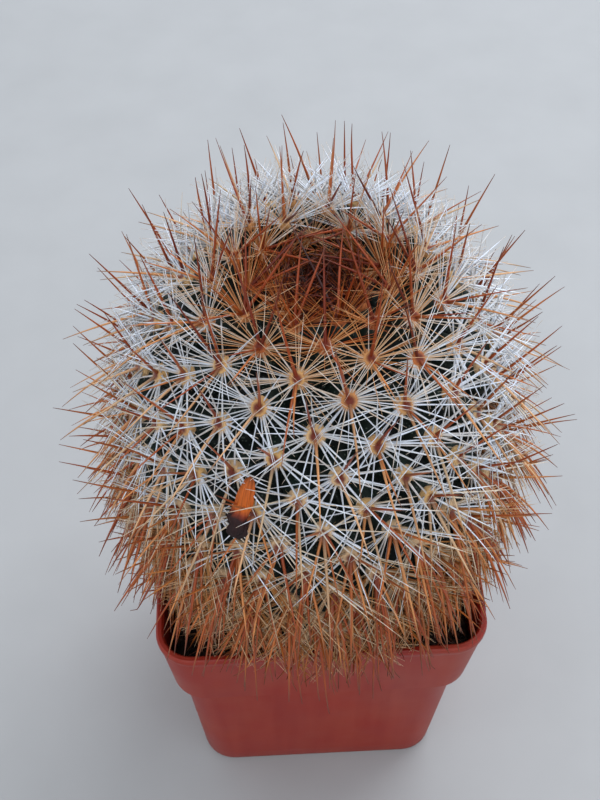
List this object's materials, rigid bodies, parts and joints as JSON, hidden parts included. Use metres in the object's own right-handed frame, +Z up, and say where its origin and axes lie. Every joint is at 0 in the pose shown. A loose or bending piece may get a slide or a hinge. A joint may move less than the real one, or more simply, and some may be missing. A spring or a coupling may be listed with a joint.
{
  "type": "potted round cactus",
  "caption": "Round cactus with spiral rows of pale radial spines and long brown central spines, growing in a small square plastic nursery pot of soil.",
  "frame": {"origin": "centre of the pot's flat underside, where it stands on a surface", "axes": "+Z up along the stem, -Y towards the front, +X to the right; the pot's sides face +X, -X, +Y and -Y"},
  "size_m": [0.0851, 0.0855, 0.1217],
  "materials": {
    "pot_plastic": "satin moulded terracotta-red plastic",
    "potting_soil": "dark crumbly peat and bark",
    "green_skin": "dark green waxy skin",
    "spines": "pale glossy spines, tan and orange-brown with age",
    "young_spines": "dark red-brown young spines over cream wool",
    "papery_flower": "dry, wrinkled, orange-brown"
  },
  "bodies": {
    "root": {"pot": "pot_plastic", "soil": "potting_soil", "stem": "green_skin", "crown_tuft": "young_spines", "spine_row_01": "spines", "spine_row_02": "spines", "spine_row_03": "spines", "spine_row_04": "spines", "spine_row_05": "spines", "spine_row_06": "spines", "spine_row_07": "spines", "spine_row_08": "spines", "spine_row_09": "spines", "spine_row_10": "spines", "spine_row_11": "spines", "spine_row_12": "spines", "spine_row_13": "spines", "spine_row_14": "spines", "spine_row_15": "spines", "spine_row_16": "spines", "spine_row_17": "spines", "spine_row_18": "spines", "spine_row_19": "spines", "spine_row_20": "spines", "spine_row_21": "spines", "dried_flower": "papery_flower"}
  },
  "joints": []
}
